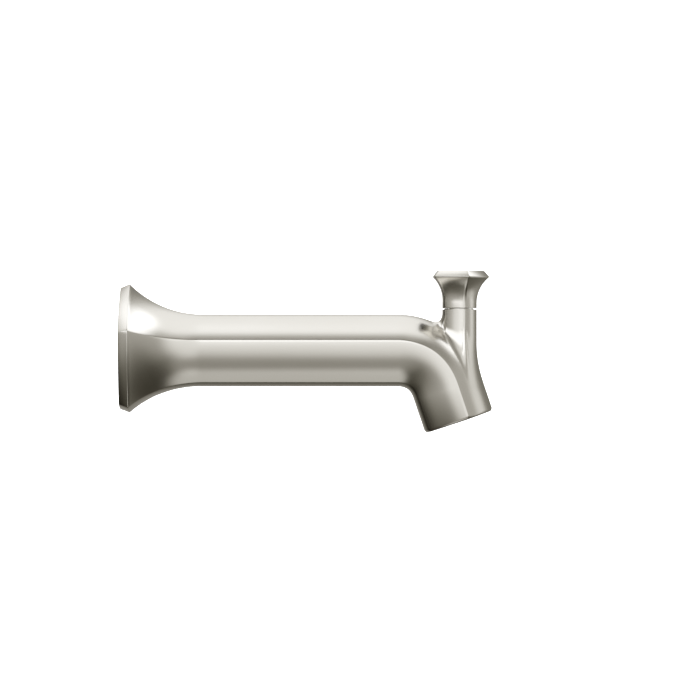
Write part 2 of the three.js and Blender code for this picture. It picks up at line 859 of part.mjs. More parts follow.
function straightenerHousing() {
  const outer = INSERT.socket - GAP;
  const from = INSERT.recess;
  const to = from + INSERT.length;
  const inner = 11.4;
  const lip = 10.6;
  const tube = solidOf(
    turned([
      [lip, from],
      [outer, from],
      [outer, to],
      [inner, to],
      [inner, from + 0.9],
      [lip, from + 0.9],
      [lip, from],
    ]),
  );
  const keys = steps(3, 0, 1.5 * Math.PI).map((turn) =>
    solidOf(box([11.9, from - 1, -1.2], [outer + 1, from + 1.4, 1.2]).rotateY(turn)),
  );
  return geometryOf(cut(tube, ...keys)).applyMatrix4(outletFrame);
}

// A disc pierced by hexagonal cells.
function streamStraightener() {
  const disc = new THREE.Shape().absarc(0, 0, 11.1, 0, 2 * Math.PI, false);
  const pitch = 3.8;
  const cell = 1.9;
  const rows = 2;
  for (let row = -rows; row <= rows; row += 1) {
    const count = 2 * rows + 1 - Math.abs(row);
    for (let column = 0; column < count; column += 1) {
      const x = (column - (count - 1) / 2) * pitch;
      const y = (row * pitch * Math.sqrt(3)) / 2;
      const corners = Array.from({ length: 6 }, (_, i) => {
        const angle = Math.PI / 6 - (i * Math.PI) / 3;
        return new THREE.Vector2(x + cell * Math.cos(angle), y + cell * Math.sin(angle));
      });
      disc.holes.push(new THREE.Path(corners));
    }
  }
  const height = 3.2;
  const grid = new THREE.ExtrudeGeometry(disc, {
    depth: height,
    bevelEnabled: false,
    curveSegments: AROUND / 2,
  });
  const seat = INSERT.recess + 0.9 + GAP;
  return grid.rotateX(Math.PI / 2).translate(0, seat + height, 0).applyMatrix4(outletFrame);
}

function outletGasket() {
  const from = INSERT.recess + INSERT.length + GAP;
  return atOutlet(washerProfile(10, INSERT.socket - GAP, from, INSERT.socketDepth - GAP));
}

// ---------------------------------------------------------------- assembly

const spout = new THREE.Group();

function place(name, geometry, material) {
  const mesh = new THREE.Mesh(geometry, material);
  mesh.name = name;
  spout.add(mesh);
}

place("spout_body", spoutBody(), nickel);
place("wall_gasket", wallGasket(), foam);
place("inlet_adapter", inletAdapter(), brass);
place("pipe_o_ring_rear", pipeRing(PIPE_RING.at[0]), rubber);
place("pipe_o_ring_front", pipeRing(PIPE_RING.at[1]), rubber);
place("set_screw", setScrew(), steel);
place("waterway_tube", waterwayTube(), brass);
place("tube_o_ring_rear", tubeRing(TUBE_RINGS[0]), rubber);
place("tube_o_ring_front", tubeRing(TUBE_RINGS[1]), rubber);
place("diverter_seat", diverterSeat(), brass);
place("gate_guide", gateGuide(), acetal);
place("guide_retaining_ring", guideRetainingRing(), steel);
place("gate_carrier", gateCarrier(), acetal);
place("gate_seal", gateSeal(), rubber);
place("gate_washer", gateWasher(), steel);
place("gate_screw", gateScrew(), steel);
place("lift_stem", liftStem(), steel);
place("return_spring", returnSpring(), steel);
place("stem_bushing", stemBushing(), brass);
place("stem_o_ring", stemRing(), rubber);
place("bushing_o_ring", bushingRing(), rubber);
place("lift_knob", liftKnob(), nickel);
place("knob_bumper", knobBumper(), acetal);
place("knob_jam_nut", knobJamNut(), brass);
place("straightener_housing", straightenerHousing(), greyPlastic);
place("stream_straightener", streamStraightener(), greyPlastic);
place("outlet_gasket", outletGasket(), rubber);

export default spout;
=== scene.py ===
"""A wall mounted bath spout with a pull-up diverter knob, in satin nickel.

Sizes are written in millimetres and MM turns them into metres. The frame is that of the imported
model: +X runs out of the wall along the barrel, +Z is up and the spout is symmetric about the XZ
plane.
"""

import json
import math

import bpy
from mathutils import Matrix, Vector


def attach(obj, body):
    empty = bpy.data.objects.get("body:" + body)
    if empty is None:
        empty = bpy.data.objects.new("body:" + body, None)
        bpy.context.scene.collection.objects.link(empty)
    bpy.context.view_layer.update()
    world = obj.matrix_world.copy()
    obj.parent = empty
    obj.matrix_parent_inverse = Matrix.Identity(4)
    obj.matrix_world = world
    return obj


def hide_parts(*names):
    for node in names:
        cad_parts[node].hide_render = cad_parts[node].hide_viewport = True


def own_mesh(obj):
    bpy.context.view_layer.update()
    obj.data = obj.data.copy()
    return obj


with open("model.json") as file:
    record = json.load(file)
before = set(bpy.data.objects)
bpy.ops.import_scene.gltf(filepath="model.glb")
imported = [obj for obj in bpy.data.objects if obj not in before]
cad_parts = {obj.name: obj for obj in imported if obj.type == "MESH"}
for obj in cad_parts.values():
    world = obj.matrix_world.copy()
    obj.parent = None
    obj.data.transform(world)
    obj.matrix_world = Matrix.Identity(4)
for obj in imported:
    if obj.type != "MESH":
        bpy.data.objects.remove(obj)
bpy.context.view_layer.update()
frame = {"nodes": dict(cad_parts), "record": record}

MM = 0.001
TURN_SIGN = -1  # without a window the rotate operator turns the other way
TIGHT = 1e-6  # vertices nearer than this are one vertex
SMALL_PIECE_ANGLE = 35  # in degrees, the sharpest turn that a small piece shades smooth

# ------------------------------------------------------------------ sizes, in millimetres

SIDES = 5
SIDE_TURN = math.tau / SIDES
BARREL_BOW = 0.108  # how far a side bows out, as a share of the section's radius
RIM_BOW = 0.082
SIDE_STEPS = 24

BARREL_RADIUS = 20.2
OUTLET_RADIUS = 20.05
RIM_BACK_RADIUS = 34.5
RIM_RADIUS = 36.55
RIM_DEPTH = 5.0
FLARE_END = 44.4
FLARE_RADIUS = 55.6
FLARE_CUTS = 27

BEND_START = 149.0
BEND_RADIUS = 29.2
BEND_TIGHTER = 1.25
BEND_ANGLE = math.radians(71.3)
BEND_STEPS = 48
OUTLET_LENGTH = 18.5
OUTLET_CHAMFER_INSET = 1.15
OUTLET_CHAMFER_LENGTH = 1.65
BEND_CENTRE = Vector((BEND_START, 0, -BEND_RADIUS))

NECK_X = 182.1
NECK_RADIUS = 9.8
NECK_TOP = 22.85
NECK_RIDGE = 2.2  # how much of each side the rounding of a ridge takes
REGISTER_RADIUS = 7.9  # the raised ring on the neck's top
REGISTER_TOP = 23.4
NECK_SIDE_STEPS = 10
NECK_BORE = 6.3
NECK_COUNTER = 7.2
NECK_COUNTER_FLOOR = 19.85
ON_STEM = (NECK_X, 0, 0)
SCREW_X = 18
ON_SCREW = (SCREW_X, 0, 0)
GATE_HEIGHT = -14.5  # the middle of the gate's face, knob down

KNOB_BOTTOM = 23.55
KNOB_FLARE_START = 26.4
KNOB_BRACE = 0.45  # a ring this far above the bottom edge keeps the straight wall flat
KNOB_FLARE_RADIUS = 17.5
KNOB_RIM = 40.6
KNOB_RIM_RADIUS = 16.5
KNOB_RIM_BOW = 0.045
KNOB_RIDGE = 0.6
KNOB_TOP = 43.7
KNOB_TOP_RADIUS = 13.75

KNOB_COUNTER = 5.3
KNOB_COUNTER_TOP = 30.2
KNOB_STEM_HOLE = 2.8
KNOB_STEM_HOLE_TOP = 37
# Known fault: this lies above KNOB_BOTTOM, so the hole stops short of the knob's underside.
KNOB_HOLE_START = 24

WALL = 2.6
INSET = WALL / math.cos(SIDE_TURN / 2)

# ------------------------------------------------------------------ working by hand


def rest():
    """Back to object mode with nothing selected."""
    if bpy.context.object and bpy.context.object.mode != "OBJECT":
        bpy.ops.object.mode_set(mode="OBJECT")
    bpy.ops.object.select_all(action="DESELECT")


def take_up(piece):
    """Makes this piece the only one selected, and the active one."""
    rest()
    piece.select_set(True)
    bpy.context.view_layer.objects.active = piece


def named(name):
    """Names the piece just added."""
    piece = bpy.context.object
    piece.name = piece.data.name = name
    return piece


def single_point(name, place):
    """A new piece in edit mode that is one selected vertex, at a place in millimetres."""
    rest()
    bpy.ops.mesh.primitive_plane_add(size=MM)
    piece = named(name)
    bpy.ops.object.mode_set(mode="EDIT")
    bpy.ops.mesh.select_mode(type="VERT")
    bpy.ops.mesh.select_all(action="SELECT")
    bpy.ops.mesh.merge(type="CENTER")
    bpy.ops.transform.translate(value=Vector(place) * MM)
    return piece


def pick_vertices(piece, wanted):
    """In edit mode, selects the vertices whose place in millimetres satisfies the test."""
    bpy.ops.mesh.select_mode(type="VERT")
    bpy.ops.mesh.select_all(action="DESELECT")
    bpy.ops.object.mode_set(mode="OBJECT")
    for vertex in piece.data.vertices:
        vertex.select = bool(wanted(vertex.co / MM))
    bpy.ops.object.mode_set(mode="EDIT")


def merge_all():
    """In edit mode, merges doubles over the whole piece and turns its faces outwards."""
    bpy.ops.mesh.select_all(action="SELECT")
    bpy.ops.mesh.remove_doubles(threshold=TIGHT)
    bpy.ops.mesh.normals_make_consistent(inside=False)


def apply_modifier(piece, kind, **settings):
    """Adds a modifier with these settings to a piece and applies it."""
    take_up(piece)
    bpy.ops.object.modifier_add(type=kind)
    modifier = piece.modifiers[-1]
    for key, value in settings.items():
        setattr(modifier, key, value)
    bpy.ops.object.modifier_apply(modifier=modifier.name)


def cut(piece, *tools):
    """Takes each tool's shape out of the piece, and throws the tool away."""
    for tool in tools:
        apply_modifier(piece, "BOOLEAN", operation="DIFFERENCE", solver="EXACT", object=tool)
        bpy.data.objects.remove(tool)


def join_solid(piece, *others):
    """Melts each other solid into the piece."""
    for other in others:
        apply_modifier(piece, "BOOLEAN", operation="UNION", solver="EXACT", object=other)
        bpy.data.objects.remove(other)


def soften_edges(piece, width, steps=3, angle=20):
    """Rounds every edge that turns more than the angle, in degrees."""
    apply_modifier(
        piece,
        "BEVEL",
        width=width * MM,
        segments=steps,
        limit_method="ANGLE",
        angle_limit=math.radians(angle),
        use_clamp_overlap=True,
    )


def ease_corners(piece, width):
    """Takes the sharpness off a small piece's square edges."""
    soften_edges(piece, width, 2, 40)


def smooth(piece, angle=28):
    take_up(piece)
    bpy.ops.object.shade_smooth_by_angle(angle=math.radians(angle))
    rest()


def turned(name, profile, axis="X", steps=72, place=(0, 0, 0)):
    """A piece turned about an axis from its [radius, along] profile, in millimetres."""
    upright = axis == "Z"

    def at(radius, along):
        spot = Vector((radius, 0, along)) if upright else Vector((along, 0, radius))
        return spot + Vector(place)

    piece = single_point(name, at(*profile[0]))
    for here, there in zip(profile, profile[1:]):
        step = (at(*there) - at(*here)) * MM
        bpy.ops.mesh.extrude_vertices_move(TRANSFORM_OT_translate={"value": step})
    bpy.ops.mesh.select_all(action="SELECT")
    bpy.ops.mesh.spin(
        steps=steps,
        angle=math.tau,
        center=Vector(place) * MM,
        axis=(0, 0, 1) if upright else (1, 0, 0),
    )
    merge_all()
    rest()
    return piece


def rod(name, radius, low, high, axis="X", steps=72, place=(0, 0, 0)):
    profile = [(0, low), (radius, low), (radius, high), (0, high)]
    return turned(name, profile, axis, steps, place)


# ------------------------------------------------------------------ the five-sided section


def side_arc(radius, bow):
    """A bowed side's arc: its radius, how far back its centre lies, and its half turn."""
    half = SIDE_TURN / 2
    sagitta = bow * radius
    arc = ((radius * math.sin(half)) ** 2 + sagitta**2) / (2 * sagitta)
    return arc, arc - radius * math.cos(half) - sagitta, math.asin(radius * math.sin(half) / arc)


def five_sided_loop(name, x, radius, bow, steps):
    """Draws the section as a loop of edges across the barrel, its first corner up.

    A corner point is spun along one side after the other until it is back where it began.
    """
    _, behind, reach = side_arc(radius, bow)
    piece = single_point(name, (x, 0, radius))
    for side in range(SIDES):
        facing = math.pi / 2 + (side + 0.5) * SIDE_TURN
        centre = Vector((x, -behind * math.cos(facing), -behind * math.sin(facing)))
        bpy.ops.mesh.spin(steps=steps, angle=-2 * reach, center=centre * MM, axis=(1, 0, 0))
    bpy.ops.mesh.select_all(action="SELECT")
    bpy.ops.mesh.remove_doubles(threshold=TIGHT)
    return piece


def flare_radius(x):
    before = max(0.0, FLARE_END - x)
    return BARREL_RADIUS + FLARE_RADIUS - math.sqrt(FLARE_RADIUS**2 - before**2)


def bend_share(angle):
    """0 until a third of the bend, then eased up to 1 at its end."""
    t = min(1.0, max(0.0, (angle / BEND_ANGLE - 0.35) / 0.65))
    return t * t * (3 - 2 * t)


def path_radius(angle):
    return BEND_RADIUS - BEND_TIGHTER * bend_share(angle)


def section_radius(angle):
    share = min(1.0, max(0.0, angle / BEND_ANGLE))
    return BARREL_RADIUS + (OUTLET_RADIUS - BARREL_RADIUS) * share


def path_place(angle, straight=0.0):
    """The section's centre after an angle of the bend and then a straight length."""
    up = Vector((math.sin(angle), 0, math.cos(angle)))
    along = Vector((math.cos(angle), 0, -math.sin(angle)))
    return BEND_CENTRE + up * path_radius(angle) + along * straight


def carry_loop(old, new):
    """Extrudes the selected loop from one station, (centre, tilt, radius), to the next."""
    bpy.ops.mesh.extrude_edges_move(TRANSFORM_OT_translate={"value": (0, 0, 0)})
    pivot = old[0] * MM
    share = new[2] / old[2]
    if abs(share - 1) > 1e-9:
        bpy.ops.transform.resize(value=(share, share, share), center_override=pivot)
    if abs(new[1] - old[1]) > 1e-9:
        bpy.ops.transform.rotate(
            value=TURN_SIGN * (new[1] - old[1]), orient_axis="Y", center_override=pivot
        )
    bpy.ops.transform.translate(value=(new[0] - old[0]) * MM)


def sweep_nose(stations):
    """Carries the selected loop through the stations and closes the last one."""
    for old, new in zip(stations, stations[1:]):
        carry_loop(old, new)
    bpy.ops.mesh.edge_face_add()


def bend_stations(inset, steps, first_angle=0.0):
    angles = [first_angle + (BEND_ANGLE - first_angle) * i / steps for i in range(steps + 1)]
    return [(path_place(a), a, section_radius(a) - inset) for a in angles]


def spout_skin():
    """The casting's outside, from the rim at the wall to the outlet's end, as one solid."""
    skin = five_sided_loop("spout_body_skin", RIM_DEPTH, RIM_RADIUS, RIM_BOW, SIDE_STEPS)
    rest()
    barrel = five_sided_loop("barrel_loop", FLARE_END, BARREL_RADIUS, BARREL_BOW, SIDE_STEPS)
    rest()
    take_up(skin)
    barrel.select_set(True)
    bpy.ops.object.join()
    bpy.ops.object.mode_set(mode="EDIT")
    bpy.ops.mesh.select_all(action="SELECT")
    bpy.ops.mesh.bridge_edge_loops(
        type="SINGLE", number_cuts=FLARE_CUTS, interpolation="LINEAR", smoothness=0
    )
    span = FLARE_END - RIM_DEPTH
    for ring in range(1, FLARE_CUTS + 1):
        share = ring / (FLARE_CUTS + 1)
        x = RIM_DEPTH + span * share
        straight = RIM_RADIUS + (BARREL_RADIUS - RIM_RADIUS) * share
        wanted = flare_radius(x) / straight
        pick_vertices(skin, lambda co, x=x: abs(co.x - x) < 0.01)
        bpy.ops.transform.resize(value=(1, wanted, wanted), center_override=(x * MM, 0, 0))
    pick_vertices(skin, lambda co: abs(co.x - RIM_DEPTH) < 0.01)
    rim = (Vector((RIM_DEPTH, 0, 0)), 0.0, RIM_RADIUS)
    carry_loop(rim, (Vector((0, 0, 0)), 0.0, RIM_BACK_RADIUS))
    bpy.ops.mesh.edge_face_add()
    pick_vertices(skin, lambda co: abs(co.x - FLARE_END) < 0.01)
    end = path_place(BEND_ANGLE, OUTLET_LENGTH)
    before_chamfer = path_place(BEND_ANGLE, OUTLET_LENGTH - OUTLET_CHAMFER_LENGTH)
    round_middle = path_place(BEND_ANGLE, OUTLET_LENGTH - 0.45 * OUTLET_CHAMFER_LENGTH)
    sweep_nose(
        [
            (Vector((FLARE_END, 0, 0)), 0.0, BARREL_RADIUS),
            (Vector((96.0, 0, 0)), 0.0, BARREL_RADIUS),
            *bend_stations(0.0, BEND_STEPS),
            (before_chamfer, BEND_ANGLE, OUTLET_RADIUS),
            (round_middle, BEND_ANGLE, OUTLET_RADIUS - 0.3 * OUTLET_CHAMFER_INSET),
            (end, BEND_ANGLE, OUTLET_RADIUS - OUTLET_CHAMFER_INSET),
        ]
    )
    merge_all()
    rest()
    soften_edges(skin, 0.28, 3, 20)
    return skin


# ------------------------------------------------------------------ the neck


def crown_height(radius, sideways):
    """How far a section's upper side stands above its centre at a sideways distance."""
    arc, behind, _ = side_arc(radius, BARREL_BOW)
    facing = math.pi / 2 - SIDE_TURN / 2
    across = abs(sideways) + behind * math.cos(facing)
    return math.sqrt(arc**2 - across**2) - behind * math.sin(facing)


def bend_top(x, y):
    """Height of the bend's or outlet's upper surface above a place in plan."""
    run = x - BEND_CENTRE.x
    angle = BEND_ANGLE / 2
    for _ in range(14):
        reach = path_radius(angle) + crown_height(section_radius(angle), y)
        if run < reach * math.sin(BEND_ANGLE):
            height = math.sqrt(reach**2 - run**2)
        else:
            height = (reach - run * math.sin(BEND_ANGLE)) / math.cos(BEND_ANGLE)
        angle = min(BEND_ANGLE, math.atan2(run, height))
    return BEND_CENTRE.z + height


NECK_SINK = 0.03  # the skirt lands this far inside the bend's surface
NECK_FOOT = -23.0  # below its landing the skirt runs straight down to here, inside the casting
SKIRT_RINGS = 22
# How wide the skirt is, by the way its wall faces: degrees round from one side to the outlet's.
FILLETS = [(-90, 6.7), (-54, 3.4), (-18, 5.0), (18, 5.6), (54, 4.8), (90, 3.5)]
TALLEST_FILLET = 12.0


def fillet_width(away):
    facing = math.degrees(math.atan2(away.x, abs(away.y)))
    for (low, here), (high, there) in zip(FILLETS, FILLETS[1:]):
        if facing <= high:
            t = (facing - low) / (high - low)
            return here + (there - here) * t * t * (3 - 2 * t)
    return FILLETS[-1][1]


def turn_loop_upright(x):
    """In edit mode, turns a loop drawn across the barrel so that it lies flat, corner forward."""
    bpy.ops.mesh.select_all(action="SELECT")
    pivot = Vector((x, 0, 0)) * MM
    bpy.ops.transform.rotate(value=TURN_SIGN * math.pi / 2, orient_axis="Y", center_override=pivot)


def corner_vertices(piece, middle, radius):
    """In edit mode, selects the five corners of a flat loop, by their distance from its middle."""
    pick_vertices(
        piece, lambda co: abs(math.hypot(co.x - middle, co.y) - radius) < 0.01 * radius
    )


def neck_wall():
    """The neck's outline at its top, lying flat with its corners rounded."""
    neck = five_sided_loop("neck", NECK_X, NECK_RADIUS, BARREL_BOW, NECK_SIDE_STEPS)
    bpy.ops.mesh.edge_face_add()
    turn_loop_upright(NECK_X)
    bpy.ops.transform.translate(value=(0, 0, NECK_TOP * MM))
    corner_vertices(neck, NECK_X, NECK_RADIUS)
    bpy.ops.mesh.bevel(
        offset=NECK_RIDGE * MM, offset_type="OFFSET", segments=8, affect="VERTICES"
    )
    return neck


def skirt_rows(feet):
    """The skirt's rings, top to bottom, under the neck's outline points."""
    walls = []
    for i, foot in enumerate(feet):
        along = feet[(i + 1) % len(feet)] - feet[i - 1]
        away = Vector((along.y, -along.x, 0)).normalized()
        if away.dot(foot - Vector((NECK_X, 0, foot.z))) < 0:
            away = -away
        width = fillet_width(away)

        def height(w, foot=foot, away=away):
            return bend_top(foot.x + away.x * w, foot.y + away.y * w) - NECK_SINK

        landing = height(width)
        slope = (height(width + 0.01) - height(width - 0.01)) / 0.02
        crossing = landing - width * slope
        top = crossing + min(width * math.hypot(1, slope), TALLEST_FILLET)
        walls.append((foot, away, width, landing, crossing, top))
    rows = []
    for ring in range(SKIRT_RINGS + 1):
        t = ring / SKIRT_RINGS
        row = []
        for foot, away, width, landing, crossing, top in walls:
            spot = foot + away * (width * t * t)
            spot.z = top * (1 - t) ** 2 + 2 * crossing * t * (1 - t) + landing * t * t
            row.append(spot)
        rows.append(row)
    rows.append([Vector((spot.x, spot.y, NECK_FOOT)) for spot in rows[-1]])
    return rows


def neck_and_skirt():
    """The neck, and the skirt that sweeps from its walls onto the bend's upper surface."""
    neck = neck_wall()
    bpy.ops.object.mode_set(mode="OBJECT")
    loop = list(neck.data.polygons[0].vertices)
    above = [neck.data.vertices[i].co / MM for i in loop]
    rows = skirt_rows(above)
    bpy.ops.object.mode_set(mode="EDIT")
    bpy.ops.mesh.select_mode(type="FACE")
    bpy.ops.mesh.select_all(action="SELECT")
    for row in rows:
        bpy.ops.mesh.extrude_region_move(TRANSFORM_OT_translate={"value": (0, 0, 0)})
        bpy.ops.object.mode_set(mode="OBJECT")
        fresh = next(face for face in neck.data.polygons if face.select)
        for index in fresh.vertices:
            vertex = neck.data.vertices[index]
            spot = vertex.co / MM
            near = min(range(len(above)), key=lambda i: (above[i] - spot).length_squared)
            vertex.co = row[near] * MM
        above = row
        bpy.ops.object.mode_set(mode="EDIT")
    merge_all()
    rest()
    return neck


# ------------------------------------------------------------------ the casting's hollows


def swept_hollow(name, stations, bow=BARREL_BOW):
    """A solid in the shape of the inner space, carried through its stations."""
    hollow = five_sided_loop(name, stations[0][0].x, stations[0][2], bow, 12)
    bpy.ops.mesh.edge_face_add()
    bpy.ops.mesh.select_all(action="SELECT")
    bpy.ops.mesh.delete(type="ONLY_FACE")
    bpy.ops.mesh.select_all(action="SELECT")
    sweep_nose(stations)
    pick_vertices(hollow, lambda co: abs(co.x - stations[0][0].x) < 0.01)
    bpy.ops.mesh.edge_face_add()
    merge_all()
    rest()
    return hollow


def level(x, radius):
    return (Vector((x, 0, 0)), 0.0, radius)


def rear_hollow():
    xs = [-1, 3, 10, 14, 18, 22, 26, 30, 35, 40]
    stations = [level(x, min(28.0, flare_radius(max(x, 5)) - INSET)) for x in xs]
    return swept_hollow("rear_hollow", stations, RIM_BOW)


def middle_hollow():
    inner = BARREL_RADIUS - INSET
    return swept_hollow("middle_hollow", [level(44, inner), level(145, inner)])


def nose_hollow():
    first = bend_stations(INSET, 16, (150.0 - BEND_START) / BEND_RADIUS)
    stations = [level(150.0, BARREL_RADIUS - INSET), *first[1:]]
    last = (path_place(BEND_ANGLE, OUTLET_LENGTH - 14.2), BEND_ANGLE, OUTLET_RADIUS - INSET)
    return swept_hollow("nose_hollow", [*stations, last])


OUTLET_END = path_place(BEND_ANGLE, OUTLET_LENGTH)


def aim_at_outlet(piece):
    """Turns a piece made upright at the origin so that its +Z runs up into the outlet."""
    take_up(piece)
    bpy.ops.object.mode_set(mode="EDIT")
    bpy.ops.mesh.select_all(action="SELECT")
    turn = BEND_ANGLE - math.pi / 2
    bpy.ops.transform.rotate(
        value=TURN_SIGN * turn, orient_axis="Y", center_override=(0, 0, 0)
    )
    bpy.ops.transform.translate(value=OUTLET_END * MM)
    rest()
    return piece


def outlet_bore():
    profile = [
        (0, -2),
        (15.5, -2),
        (13.5, 0.6),
        (13.5, 11.6),
        (12, 11.6),
        (12, 14.7),
        (0, 14.7),
    ]
    return aim_at_outlet(turned("outlet_bore", profile, "Z"))


def neck_bore():
    profile = [
        (0, -12),
        (NECK_BORE, -12),
        (NECK_BORE, NECK_COUNTER_FLOOR),
        (NECK_COUNTER, NECK_COUNTER_FLOOR),
        (NECK_COUNTER, 26),
        (0, 26),
    ]
    return turned("neck_bore", profile, "Z", place=ON_STEM)


def gasket_groove():
    """The groove in the rim's back that holds the wall gasket."""
    groove = swept_hollow("gasket_groove", [level(-1, 32.9), level(2.4, 32.9)], RIM_BOW)
    core = swept_hollow("groove_core", [level(-2, 29.9), level(4, 29.9)], RIM_BOW)
    cut(groove, core)
    return groove


def make_spout_body():
    body = spout_skin()
    register = rod("register", REGISTER_RADIUS, 20, REGISTER_TOP, "Z", 96, ON_STEM)
    join_solid(body, neck_and_skirt(), register)
    body.name = body.data.name = "spout_casting"
    cut(
        body,
        rear_hollow(),
        middle_hollow(),
        nose_hollow(),
        rod("web_bore", 11.2, 38, 46),
        rod("bulkhead_bore", 8.3, 143, 152),
        outlet_bore(),
        neck_bore(),
        gasket_groove(),
        rod("screw_hole", 3.2, -34, -12, "Z", 48, ON_SCREW),
    )
    bpy.ops.object.mode_set(mode="EDIT")
    merge_all()
    smooth(body)
    return body


# ------------------------------------------------------------------ the knob


def flat_loop(name, height, radius, bow, ridge, steps=NECK_SIDE_STEPS):
    """A five-sided outline lying flat at a height, a corner forward, corners rounded."""
    loop = five_sided_loop(name, NECK_X, radius, bow, steps)
    bpy.ops.mesh.edge_face_add()
    turn_loop_upright(NECK_X)
    bpy.ops.transform.translate(value=(0, 0, height * MM))
    corner_vertices(loop, NECK_X, radius)
    bpy.ops.mesh.bevel(offset=ridge * MM, offset_type="OFFSET", segments=8, affect="VERTICES")
    bpy.ops.mesh.select_all(action="SELECT")
    bpy.ops.mesh.delete(type="ONLY_FACE")
    rest()
    return loop


KNOB_CUTS = 23


def make_lift_knob():
    foot = flat_loop("knob_body", KNOB_FLARE_START, NECK_RADIUS, BARREL_BOW, NECK_RIDGE)
    rim = flat_loop("knob_rim", KNOB_RIM, KNOB_RIM_RADIUS, KNOB_RIM_BOW, KNOB_RIDGE)
    take_up(foot)
    rim.select_set(True)
    bpy.ops.object.join()
    bpy.ops.object.mode_set(mode="EDIT")
    bpy.ops.mesh.select_all(action="SELECT")
    bpy.ops.mesh.bridge_edge_loops(
        type="SINGLE", number_cuts=KNOB_CUTS, interpolation="LINEAR", smoothness=0
    )
    rise = KNOB_RIM - KNOB_FLARE_START
    for ring in range(1, KNOB_CUTS + 1):
        share = ring / (KNOB_CUTS + 1)
        z = KNOB_FLARE_START + rise * share
        straight = NECK_RADIUS + (KNOB_RIM_RADIUS - NECK_RADIUS) * share
        drop = math.sqrt(KNOB_FLARE_RADIUS**2 - (rise * share) ** 2)
        wanted = (NECK_RADIUS + KNOB_FLARE_RADIUS - drop) / straight
        pick_vertices(foot, lambda co, z=z: abs(co.z - z) < 0.01)
        centre = Vector((NECK_X, 0, z)) * MM
        bpy.ops.transform.resize(value=(wanted, wanted, 1), center_override=centre)
    pick_vertices(foot, lambda co: abs(co.z - KNOB_FLARE_START) < 0.01)
    for drop in (KNOB_BOTTOM + KNOB_BRACE - KNOB_FLARE_START, -KNOB_BRACE):
        bpy.ops.mesh.extrude_edges_move(TRANSFORM_OT_translate={"value": (0, 0, drop * MM)})
    bpy.ops.mesh.edge_face_add()
    pick_vertices(foot, lambda co: abs(co.z - KNOB_RIM) < 0.01)
    rim_place = Vector((NECK_X, 0, KNOB_RIM))
    top_place = Vector((NECK_X, 0, KNOB_TOP))
    carry_loop((rim_place, 0, KNOB_RIM_RADIUS), (top_place, 0, KNOB_TOP_RADIUS))
    bpy.ops.mesh.edge_face_add()
    merge_all()
    rest()
    soften_edges(foot, 0.18, 3, 32)
    hole = [
        (0, KNOB_HOLE_START),
        (KNOB_COUNTER, KNOB_HOLE_START),
        (KNOB_COUNTER, KNOB_COUNTER_TOP),
        (KNOB_STEM_HOLE, KNOB_COUNTER_TOP),
        (KNOB_STEM_HOLE, KNOB_STEM_HOLE_TOP),
        (0, KNOB_STEM_HOLE_TOP),
    ]
    cut(foot, turned("knob_hole", hole, "Z", place=ON_STEM))
    foot.name = foot.data.name = "knob_casting"
    smooth(foot)
    return foot


# ------------------------------------------------------------------ the return spring

SPRING_TURNS = 6
SPRING_WIRE = 0.45
SPRING_RADIUS = 3.95
SPRING_BOTTOM = -10.75
SPRING_TOP = 11.65


def make_spring():
    """A round wire spun up around the stem, its two ends capped square across the wire."""
    rest()
    bpy.ops.mesh.primitive_circle_add(
        vertices=10,
        radius=SPRING_WIRE * MM,
        location=((NECK_X + SPRING_RADIUS) * MM, 0, SPRING_BOTTOM * MM),
        rotation=(math.pi / 2, 0, 0),
        fill_type="NGON",
    )
    spring = named("return_spring_coil")
    bpy.ops.object.transform_apply(location=True, rotation=True, scale=True)
    bpy.ops.object.mode_set(mode="EDIT")
    bpy.ops.mesh.select_all(action="SELECT")
    steps = SPRING_TURNS * 28
    rise = (SPRING_TOP - SPRING_BOTTOM) / steps * MM
    turn = SPRING_TURNS * math.tau / steps
    for _ in range(steps):
        bpy.ops.mesh.extrude_region_move(TRANSFORM_OT_translate={"value": (0, 0, rise)})
        bpy.ops.transform.rotate(
            value=TURN_SIGN * turn, orient_axis="Z", center_override=(NECK_X * MM, 0, 0)
        )
    merge_all()
    rest()
    smooth(spring, 40)
    return spring


# ------------------------------------------------------------------ small turned pieces


def washer(name, hole, outside, low, high, axis="Z", place=(0, 0, 0), edge=0.15):
    profile = [(hole, low), (outside, low), (outside, high), (hole, high), (hole, low)]
    ring = turned(name, profile, axis, 72, place)
    ease_corners(ring, edge)
    smooth(ring, SMALL_PIECE_ANGLE)
    return ring


def o_ring(name, middle, along, cord, axis="X", place=(0, 0, 0)):
    profile = []
    for side in range(17):
        turn = side * math.tau / 16
        profile.append((middle + cord * math.cos(turn), along + cord * math.sin(turn)))
    ring = turned(name, profile, axis, 72, place)
    smooth(ring, 60)
    return ring


def again(piece, name, shift):
    """A copy of a piece with its own mesh, moved by a shift in millimetres."""
    take_up(piece)
    bpy.ops.object.duplicate(linked=False)
    copy = named(name)
    bpy.ops.object.mode_set(mode="EDIT")
    bpy.ops.mesh.select_all(action="SELECT")
    bpy.ops.transform.translate(value=Vector(shift) * MM)
    rest()
    return copy


def six_sided(name, radius, low, high, place=(0, 0, 0), tilt=(0, 0, 0)):
    """A hexagonal bar along Z, or turned by a tilt, standing at a place in millimetres."""
    rest()
    bpy.ops.mesh.primitive_cylinder_add(
        vertices=6,
        radius=radius * MM,
        depth=(high - low) * MM,
        location=Vector(place) * MM,
        rotation=tilt,
    )
    bar = named(name)
    bpy.ops.object.transform_apply(location=False, rotation=True, scale=True)
    bpy.ops.object.transform_apply(location=True, rotation=False, scale=False)
    bpy.ops.object.mode_set(mode="EDIT")
    bpy.ops.mesh.select_all(action="SELECT")
    middle = Vector((0, 0, (low + high) / 2))
    if tilt[1]:
        middle = Vector(((low + high) / 2, 0, 0))
    bpy.ops.transform.translate(value=middle * MM)
    rest()
    return bar


